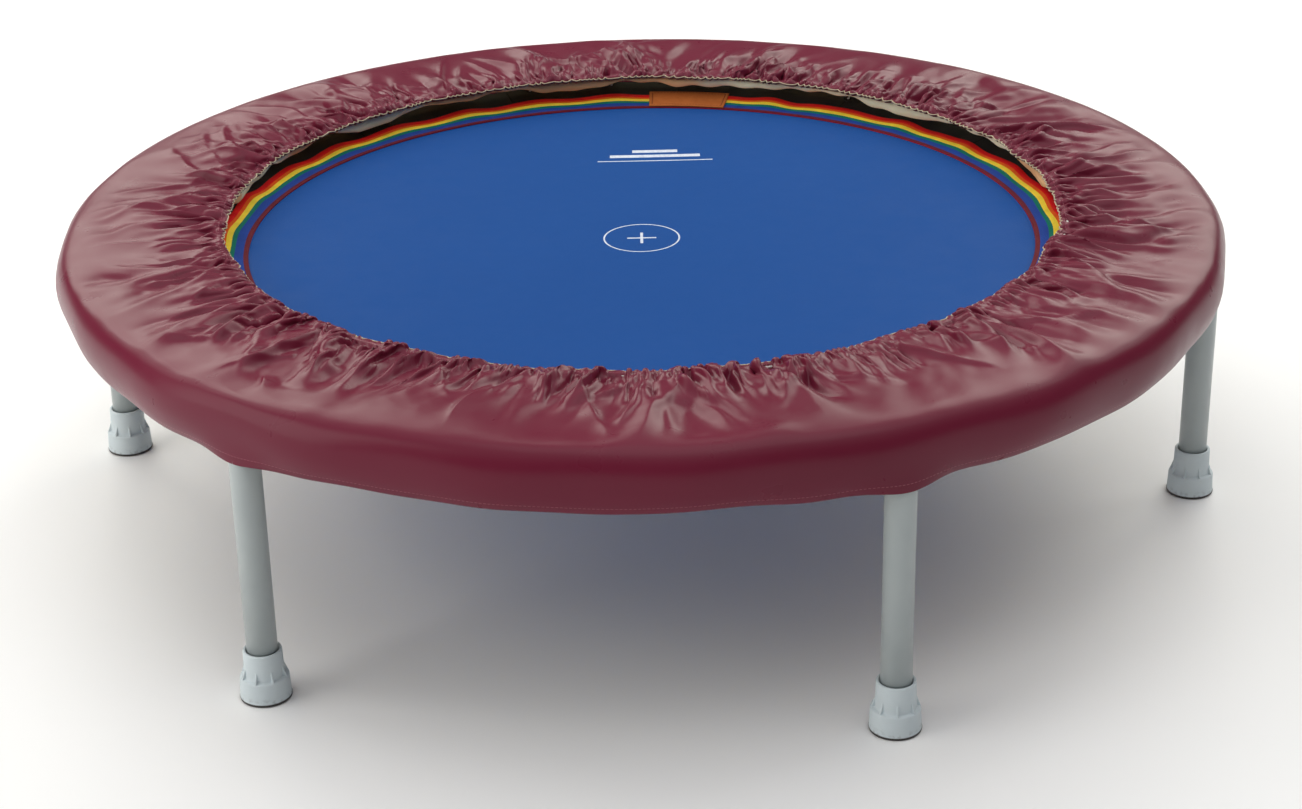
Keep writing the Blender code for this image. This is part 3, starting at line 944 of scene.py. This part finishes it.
def ruffled(fine):
    """Tight ruffles, in rows along the casing of the elastic."""
    angles = circle(fine.shape[1])
    round_way = np.roll(fine, -1, axis=1) - np.roll(fine, 1, axis=1)
    normal = np.cross(np.gradient(fine, axis=0), round_way)
    normal /= np.linalg.norm(normal, axis=-1, keepdims=True)
    lift = np.zeros(fine.shape[:2])
    for pace, low, high, height, seed in RUFFLE_ROWS:
        phase = round(RUFFLES * pace) * angles / 2 + 1.1 * wave(angles, seed, 9, 40, 7)
        phase += 0.8 * wave(angles, seed + 1, 40, 100, 7)
        puff = np.abs(np.cos(phase)) ** 0.7 - 0.6
        puff *= np.clip(1 + 0.4 * wave(angles, seed + 2, 20, 90, 8), 0.45, 1.3)
        lift += height * hump(TOP_V, low, high)[:, None] * puff
    return fine + normal * lift[..., None]


def pleated(fine):
    """Creases running out from the hem, each with one steep side and one gentle side."""
    random = np.random.default_rng(77)
    angles = circle(fine.shape[1])
    lift = np.zeros(fine.shape[:2])
    for _ in range(PLEATS):
        start = random.uniform(0, TAU)
        reach = log_uniform(random, *PLEAT_LENGTHS)
        first = random.choice([0.0, 0.0, 6 * MM, 25 * MM]) + 2 * MM
        lean, bend = random.uniform(-0.7, 0.7), random.uniform(-0.35, 0.35)
        side = random.choice([-1, 1])
        height = random.uniform(0.5, 1.0) * min(5.4 * MM, 0.9 * MM + 0.07 * reach)
        gentle, steep = 3 * MM + 0.13 * reach, 1.4 * MM + 0.022 * reach
        along = lean * TOP_V + bend * TOP_V**2 / reach
        turn = angles - start - along[:, None] / FOLD_R
        apart = np.angle(np.exp(1j * turn)) * SECTION_R * side
        crease = np.exp(-np.where(apart > 0, apart / gentle, -apart / steep))
        lift += height * hump(TOP_V, first, first + reach)[:, None] * crease
    fine[..., 2] += smooth(lift - lift.mean(axis=1, keepdims=True))
    return fine


def resting(fine):
    """Nothing of the cloth sinks into the foam, or stands too high above it."""
    radius = np.hypot(fine[..., 0], fine[..., 1])
    floor = np.interp(radius, *np.array(CLOTH_FLOOR).T) + 1.0 * MM
    soft, knee = 0.8 * MM, 4 * MM
    above = floor + soft * np.logaddexp(0, (fine[..., 2] - floor) / soft)
    ceiling = COVER_TOP + np.interp(TOP_V, *FOLD_LIMIT)[:, None]
    bent = ceiling - knee * np.exp(-(above - ceiling + knee) / knee)
    above = np.where(above > ceiling - knee, bent, above)
    on_foam = (COVER_V > HEM_V + 1 * MM) & (COVER_V < WALL_V - 4 * MM)
    fine[on_foam, :, 2] = above[on_foam]
    return fine


def cover():
    points, gather = cover_start()
    settled = points
    along = circle(COVER_COLUMNS, closed=True) * COVER_R
    sheet = surface("cloth_sheet", points, along, COVER_V, WINE_LOOK)
    settled = settle_cover(sheet, gather)
    bpy.data.objects.remove(sheet)
    points = resting(pleated(ruffled(refined(capped(settled, points)))))
    along = circle(2 * COVER_COLUMNS, closed=True) * COVER_R
    obj = surface("cover_fabric", points, along, COVER_V, WINE_LOOK)
    stand_in(obj, "frame_cover", "frame")
    hem_piping(points)


def hem_piping(points):
    """A thin line along the row of the cover just inside its gathered top."""
    row = int(np.argmin(np.abs(COVER_V - COVER_MARKS[HEM_END - 1])))
    edge = points[row].copy()
    edge[:, :2] *= 1 - 0.3 * MM / CORD_RING_R
    edge[:, 2] += 0.4 * MM
    line = tube("hem_piping", edge, 0.7 * MM, piping(), sides=6, closed=True)
    stand_in(line, None, "frame")


def foam_sheet():
    """Foam under the cover, with a wavy inner edge that hangs out below the hem."""
    angles = circle(FOAM_COLUMNS)
    hang = 3.0 * MM + 3.6 * MM * wave(angles, 51, 6, 22, 8) + 0.9 * MM * wave(angles, 52, 30, 70, 8)
    hang = np.clip(hang, -2.0 * MM, 7.5 * MM)
    inward = 1.4 * MM * wave(angles, 53, 6, 40, 8)
    inner = CORD_RING_R + CORD_R + 0.6 * MM
    outer = COVER_R - 4.2 * MM
    ring_out = RING_R + TUBE_R
    under = RING_TOP + 0.6 * MM
    line = np.array(
        [
            *mm_from((ring_out, under), (0.4, 0)),
            *mm_from((0, under), (489, 0), (470, -2.0), (420, -2.4)),
            *mm_from((inner, under), (12, -2.0), (6, -1.0), (3.4, -1.4), (2.2, -1.8)),
            *mm_from((inner, under), (0.8, -1.2), (0.2, 0.6)),
            *FOAM_TOP,
            *mm_from((0, COVER_TOP), (510.5, -8.7)),
            *mm_from((outer, COVER_TOP), (0, -22.2)),
            *mm_from((outer, FOAM_LOW), (-0.8, 2), (-2.4, 0)),
            *mm_from((ring_out, FOAM_LOW), (0.8, 1)),
            *mm_from((ring_out, RING_Z), (0.5, 0)),
            *mm_from((ring_out, under), (0.4, 0)),
        ]
    )
    share_z = np.zeros((len(line), 1))
    share_z[4:10, 0] = (0.2, 0.6, 1, 1, 1, 0.7)
    share_r = share_z * (share_z > 0.5)
    points = polar(line[:, :1] + share_r * inward, angles, line[:, 1:] - share_z * hang)
    along = circle(FOAM_COLUMNS, closed=True) * FOLD_R
    obj = surface("foam_sheet", points, along, lengths(line), foam())
    stand_in(obj, "foam_pad", "frame")


def gather_cord():
    angles = circle(FOAM_COLUMNS)
    radius = CORD_RING_R + hem_wander(angles, 0) + 2.2 * MM
    look = braid("white_braid", (0.72, 0.70, 0.65))
    obj = tube("gather_cord", polar(radius, angles, CORD_Z), 1.3 * MM, look, closed=True)
    stand_in(obj, "gather_elastic", "frame")


# ---- Mat ----


def springs_pull(angles):
    """1 where a spring pulls the mat's edge, -1 half way between two."""
    return np.cos(len(SPRINGS) * (angles - node_angle(SPRINGS[0])))


def web_face(r):
    """Height of the webbing's upper face, which slopes up from the mat to the springs."""
    rise = (WEB_TOP - WEB_FLAT_Z) / (WEB_R - WEB_FLAT_R)
    return WEB_FLAT_Z + max(0, r - WEB_FLAT_R) * rise


def mat_cloth():
    radii = np.concatenate([[NEAR_AXIS * MM], np.linspace(0.03, MAT_R, 40)])
    sag = MAT_SAG * (1 - (radii / MAT_R) ** 2)
    upper = np.stack([radii, MAT_TOP - sag], axis=-1)
    lower = np.stack([radii, MAT_LOW - sag], axis=-1)
    edge = [(MAT_R + 0.3 * MM, (MAT_TOP + MAT_LOW) / 2)]
    obj = lathe("mat_cloth", np.concatenate([upper, edge, lower[::-1]]), MAT_COLUMNS, mat_fabric())
    stand_in(obj, "jump_mat", "mat")


def ring_sheet(name, line, thickness, pull, material, uv_radius):
    """A thin sheet round the mat. Each line point is (r, z, share of the springs' pull)."""
    angles = circle(WEB_COLUMNS)
    tug = pull * springs_pull(angles)
    ripple = 0.35 * MM * wave(angles, 61, 12, 60, 10)
    r, z, share = np.array(line).T[..., None]
    height = z + share * (0.5 * tug + ripple)
    upper = polar(r + share * tug, angles, height)
    lower = polar(r + share * tug, angles, height - thickness)
    points = np.concatenate([upper, lower[::-1], upper[:1]])
    across = lengths([point[:2] for point in line])
    back = across[-1] + thickness + (across[-1] - across[::-1])
    rows = np.concatenate([across, back, [back[-1] + thickness]])
    return surface(name, points, circle(WEB_COLUMNS, closed=True) * uv_radius, rows, material)


def mat_webbing():
    shares = ((0.348, 0), (WEB_FLAT_R, 0), (0.370, 0.4), (0.384, 1), (0.398, 1), (WEB_R, 0.6))
    line = [(r, web_face(r), share) for r, share in shares]
    web = ring_sheet("mat_webbing", line, 1.8 * MM, PULL, webbing(), WEB_R)
    stand_in(web, "edge_webbing", "mat")


def stripe_band():
    over = MAT_TOP + 1.2 * MM
    line = [(BAND_IN_R, over - 0.5 * MM, 0), (BAND_IN_R + 0.6 * MM, over, 0)]
    line.append((WEB_FLAT_R - 0.5 * MM, over, 0.05))
    for r, share in ((0.361, 0.2), (0.366, 0.4), (0.372, 0.65), (0.378, 0.9), (BAND_R - 0.5 * MM, 1)):
        line.append((r, web_face(r) + 1.5 * MM, share))
    line.append((BAND_R, web_face(BAND_R) + 1.1 * MM, 1))
    band = ring_sheet("stripe_band", line, 0.9 * MM, 1.5 * PULL, stripes(), BAND_R)
    stand_in(band, "rainbow_band", "mat")


def eyelets():
    """Corded eyelets in the webbing, one for each spring."""
    dark = braid("dark_thread", (0.015, 0.015, 0.015))
    turn = circle(20)
    x = EYELET_R + EYELET_HOLE * np.cos(turn)
    path = np.stack([x, EYELET_HOLE * np.sin(turn), [web_face(r) - 0.2 * MM for r in x]], axis=-1)
    rings = []
    for node in SPRINGS:
        for drop in (0, 1.8 * MM):
            ring = tube("eyelet", path - (0, 0, drop), 0.7 * MM, dark, sides=6, closed=True)
            rings.append(at_angle(ring, node_angle(node)))
    stand_in(joined("eyelets", rings), None, "mat")


def label():
    """Tan suede label, folded over the band, with rounded corners and a raised edge."""
    middle = node_angle("band_label")
    columns, rows = 61, 24
    angles = np.linspace(middle - LABEL_HALF, middle + LABEL_HALF, columns)
    line = []
    for r in np.linspace(BAND_IN_R + 0.6 * MM, BAND_R + 1.0 * MM, 14):
        base = web_face(r) + 3.0 * MM
        level = max(base, MAT_TOP + 2.4 * MM)
        line.append((r, level if r < LABEL_BEND_R else base + 0.2 * MM))
    line = smooth(resample(line, rows), passes=4)
    bulge = 0.5 * MM * np.sin(np.linspace(0, math.pi, columns)) + 0.25 * MM * wave(angles, 71, 20, 90, 5)
    across = np.linspace(0, 1, rows)[:, None]
    raised = fade(np.minimum(across, 1 - across), 1 / 9)
    points = polar(line[:, :1], angles, line[:, 1:] + bulge * raised)
    along = np.linspace(0, LABEL_LENGTH, columns)
    obj = surface("tan_label", points, along, lengths(line), suede(), closed=False)
    thick = obj.modifiers.new("thick", "SOLIDIFY")
    thick.thickness = 1.3 * MM
    thick.offset = -0.6
    soften(obj, 0.4 * MM, 3)
    apply_modifiers(obj)
    stand_in(obj, "band_label", "mat")


# ---- Springs ----


def upright(profile):
    """(x, z) points as points in the plane of X and Z."""
    return np.insert(profile, 1, 0, axis=1)


def spring_path():
    """Centre line of one extension spring along +X: a hook, the coil and a second hook."""
    start, end = COIL_ENDS
    turn = np.linspace(0, COIL_TURNS * TAU, COIL_TURNS * 16)
    x = np.linspace(start, end, len(turn))
    coil = np.stack([x, COIL_R * np.sin(turn), RING_Z + COIL_R * np.cos(turn)], axis=-1)
    top = WEB_TOP + 1.3 * MM
    low = WEB_LOW + 7 * MM
    hook = EYELET_R + 1 * MM
    ring_in = RING_R - 6 * MM
    mat_hook = [
        *mm_from((hook, low), (5, -2.2), (2, -3.0), (0, 0)),
        *mm_from((hook, top), (-0.2, -2), (2, 0)),
        *mm_from((WEB_R, top), (2, 0.4)),
        *mm_from((start, RING_Z), (-2, 2.5)),
    ]
    ring_hook = mm_from((end, RING_Z), (2, 3), (6, 0.3))
    ring_hook += mm_from((ring_in, RING_Z), (-3, 0), (0, -1.2), (0.3, -5))
    return np.concatenate([upright(resample(mat_hook, 22)), coil, upright(resample(ring_hook, 18))])


def springs():
    path = spring_path()
    for node in SPRINGS:
        angle = node_angle(node)
        spring = at_angle(tube(f"coil_{node}", path, 1.1 * MM, ZINC_LOOK, sides=7), angle)
        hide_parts(node)
        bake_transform(spring)


# ---- Frame and legs ----


def ring_tube():
    turn = np.linspace(0, TAU, 29)
    profile = [(RING_R - TUBE_R * math.cos(a), RING_Z + TUBE_R * math.sin(a)) for a in turn]
    obj = lathe("ring_tube", profile, 288, PAINT_LOOK)
    stand_in(obj, "frame_ring", "frame")


def arc(radius, first, last, steps, centre=(0, 0)):
    angles = np.radians(np.linspace(first, last, steps + 1))
    return [(centre[0] + radius * math.cos(a), centre[1] + radius * math.sin(a)) for a in angles]


def hinge_radius(leg):
    return math.hypot(HINGES[leg].x, HINGES[leg].y)


def hinge_angle(leg):
    return math.atan2(HINGES[leg].y, HINGES[leg].x)


def at_hinge(obj, leg):
    obj.matrix_world = Matrix.Translation(HINGES[leg]) @ Matrix.Rotation(hinge_angle(leg), 4, "Z")
    return obj


def bracket(leg):
    """Seat plate and two ribs under the ring, with weld beads."""
    ear, rib_in, rib_thick = 6.5 * MM, 4 * MM, 3 * MM
    seat_low = LEG_TOP - HINGES[leg].z + 0.3 * MM
    ring = (RING_R - hinge_radius(leg), RING_Z - HINGES[leg].z)
    outline = arc(ear, 180, 360, 16)
    outline += mm_from((ear, seat_low), (0, 1)) + mm_from((BRACKET_OUT, seat_low), (0, 1))
    outline += [(BRACKET_OUT, 15 * MM)]
    outline += [(x, z) for x, z in arc(TUBE_R - 0.6 * MM, -25, -172, 14, ring) if x < BRACKET_OUT]
    outline += [(-ear, 16 * MM)]
    seat = mm_from((0, seat_low), (7, 0), (27, 0), (27, 3), (7, 3))
    pieces = [slab("seat", seat, -TUBE_R, TUBE_R, PAINT_LOOK)]
    weld = upright(arc(TUBE_R + 0.2 * MM, -50, -168, 26, ring))
    lumps = 0.25 * MM * np.sin(np.arange(len(weld)) * 2.1)[:, None] * (1, 0, 1)
    for side in (-1, 1):
        low = side * rib_in if side > 0 else -rib_in - rib_thick
        pieces.append(slab("rib", outline, low, low + rib_thick, PAINT_LOOK))
        for y in (side * rib_in, side * (rib_in + rib_thick)):
            pieces.append(tube("bead", weld + (0, y, 0) + lumps, 1.1 * MM, PAINT_LOOK, sides=8))
    obj = at_hinge(joined(f"hinge_bracket_{leg[-1]}", pieces), leg)
    stand_in(obj, "frame_ring", "frame")


def bolt(leg):
    """Round-headed bolt with washers and a hexagon nut."""
    face = (0, CLAMP)
    head = mm_from(face, (NEAR_AXIS, 3.2), (2.4, 3.1), (4.2, 2.2), (5.0, 1.0), (5.0, 0.7))
    head += mm_from(face, (5.9, 0.65), (5.9, 0), (NEAR_AXIS, 0))
    shank = mm_from(face, (NEAR_AXIS, 5.4), (2.5, 5.2), (2.9, 4.8))
    shank += mm_from((0, -CLAMP), (2.9, 0), (NEAR_AXIS, 0))
    nut = mm_from(face, (NEAR_AXIS, 4.2), (4.6, 4.2), (5.5, 3.5), (5.5, 1.0), (4.9, 0.7))
    washer = mm_from(face, (NEAR_AXIS, 0.75), (6.1, 0.7), (6.1, 0), (NEAR_AXIS, 0))
    pieces = []
    for profile, steps, side in ((head, 32, 1), (shank, 24, -1), (nut, 6, -1), (washer, 32, -1)):
        piece = lathe("bolt_piece", profile, steps, ZINC_LOOK)
        piece.data.transform(Matrix.Rotation(side * math.pi / 2, 4, "X"))
        if profile is nut:
            piece.data.set_sharp_from_angle(angle=math.radians(30))
        pieces.append(piece)
    obj = at_hinge(joined(f"hinge_bolt_{leg[-1]}", pieces), leg)
    stand_in(obj, f"hinge_pin_{leg[-1]}", "frame")


def leg_post(leg):
    """Painted tube with a rolled-in top and a hinge tongue."""
    x = LEG_R - hinge_radius(leg)
    top = LEG_TOP - HINGES[leg].z
    foot_z = 5 * MM - HINGES[leg].z
    profile = [
        *mm_from((0, top), (NEAR_AXIS, 0)),
        *mm_from((TUBE_R, top), (-1.4, 0), (-0.4, -0.4), (0, -1.4), (0, -40)),
        *mm_from((TUBE_R, foot_z), (0, 0), (-1.4, 0)),
        *mm_from((TUBE_R, top), (-1.4, -3)),
        *mm_from((0, top), (NEAR_AXIS, -3)),
    ]
    post = lathe("post", profile, 56, PAINT_LOOK)
    post.matrix_world = Matrix.Translation((x, 0, 0))
    tongue_top = top - 0.3 * MM
    root = x - TUBE_R + 0.8 * MM
    outline = arc(6 * MM, 90, 270, 18) + [(root, -6 * MM), (root, tongue_top), (6 * MM, tongue_top)]
    tongue = slab("tongue", outline, -3.7 * MM, 3.7 * MM, PAINT_LOOK)
    obj = at_hinge(joined(f"leg_post_{leg[-1]}", [post, tongue]), leg)
    stand_in(obj, f"leg_tube_{leg[-1]}", leg)


def foot(leg):
    """Stepped rubber foot with small buttresses on its ledge."""
    profile = [
        *mm_from((0, 0), (NEAR_AXIS, 0), (20.0, 0), (20.8, 0.5), (21.0, 1.6), (20.6, 2.6), (20.5, 4)),
        *mm_from((0, LEDGE), (19.9, -1.6), (19.5, -0.5), (18.8, 0), (17.2, 0.2), (16.5, 0.8)),
        *mm_from((0, LEDGE), (16.2, 2.4)),
        *mm_from((0, FOOT_TOP), (15.7, -1.4), (15.4, -0.4), (14.8, 0), (13.6, -0.1)),
        *mm_from((0, FOOT_TOP), (12.9, -1.2), (12.8, -6)),
    ]
    pieces = [lathe("cap", profile[::-1], 72, RUBBER_LOOK)]
    rib = mm_from((0, LEDGE), (15, -1), (19.4, -1), (19.2, 0.4), (16.0, 9), (15, 9.4))
    for i in range(BUTTRESSES):
        buttress = slab("buttress", rib, -0.9 * MM, 0.9 * MM, RUBBER_LOOK)
        pieces.append(at_angle(buttress, TAU * (i + 0.5) / BUTTRESSES))
    obj = at_angle(joined(f"rubber_foot_{leg[-1]}", pieces), hinge_angle(leg), (LEG_R, 0, 0))
    stand_in(obj, f"foot_cap_{leg[-1]}", leg)


# ---- Studio ----


def view_turn():
    return Matrix.Rotation(math.radians(VIEW_TURN), 4, "Z")


def camera():
    data = bpy.data.cameras.new("camera")
    data.sensor_width = 36
    data.lens = LENS
    data.clip_end = 60
    data.shift_x = LENS_SHIFT
    obj = link("camera", data)
    place = Matrix.Translation((0, -CAMERA["distance"], CAMERA["height"]))
    yaw = Matrix.Rotation(-CAMERA["yaw"], 4, "Z")
    pitch = Matrix.Rotation(math.pi / 2 - CAMERA["pitch"], 4, "X")
    roll = Matrix.Rotation(CAMERA["roll"], 4, "Z")
    obj.matrix_world = view_turn() @ place @ yaw @ pitch @ roll
    bpy.context.scene.camera = obj


def area_light(name, place, target, size, power, colour):
    data = bpy.data.lights.new(name, "AREA")
    data.shape = "RECTANGLE"
    data.size, data.size_y = size
    data.energy = power
    data.color = colour
    place, target = view_turn() @ Vector(place), Vector(target)
    aim = (target - place).to_track_quat("-Z", "Y").to_matrix().to_4x4()
    link(name, data).matrix_world = Matrix.Translation(place) @ aim


def sky():
    """Dim at the horizon and bright overhead, but an even white to the camera."""
    world = bpy.data.worlds.new("studio")
    bpy.context.scene.world = world
    world.use_nodes = True
    nodes = Nodes(world.node_tree)
    height = nodes.split(nodes.coords("Generated"))[2]
    seen = nodes.node("ShaderNodeMix")
    nodes.plug(seen.inputs["Factor"], nodes.camera_ray())
    nodes.plug(seen.inputs["A"], nodes.remap(height, *SKY_RISE))
    nodes.plug(seen.inputs["B"], SKY_SEEN)
    background = world.node_tree.nodes["Background"]
    nodes.plug(background.inputs["Strength"], seen.outputs["Result"])
    nodes.plug(background.inputs["Color"], (0.97, 0.98, 1.0, 1))


def floor():
    """Pale floor that runs into the background far from the trampoline."""
    look = Look("pale_floor", 0.6)
    look.tint(look.noise(3.0, 4.0), (0.905, 0.905, 0.905), (0.93, 0.93, 0.93))
    place = look.split(look.coords("Object"))
    squares = look.math("MULTIPLY_ADD", place[0], place[0], look.math("POWER", place[1], 2.0))
    far = look.times(look.step(look.math("SQRT", squares), *FLOOR_FADE), look.camera_ray())
    look.set("Emission Color", (1, 1, 1, 1))
    look.set("Emission Strength", look.times(far, FLOOR_GLOW))
    mesh = bpy.data.meshes.new("floor")
    corners = [(x * FLOOR_HALF, y * FLOOR_HALF, 0) for x, y in ((-1, -1), (1, -1), (1, 1), (-1, 1))]
    mesh.from_pydata(corners, [], [(0, 1, 2, 3)])
    mesh.materials.append(look.finish())
    obj = link("floor", mesh)
    obj.location.z = -0.2 * MM


def studio():
    bpy.context.scene.view_settings.view_transform = "Standard"
    sky()
    for light in LIGHTS:
        area_light(*light)
    floor()
    camera()


PAINT_LOOK = painted_steel()
RUBBER_LOOK = foot_rubber()
ZINC_LOOK = zinc()
WINE_LOOK = cover_fabric()

cover()
foam_sheet()
gather_cord()
mat_cloth()
mat_webbing()
stripe_band()
eyelets()
label()
springs()
ring_tube()
for leg in LEGS:
    bracket(leg)
    bolt(leg)
    leg_post(leg)
    foot(leg)
studio()
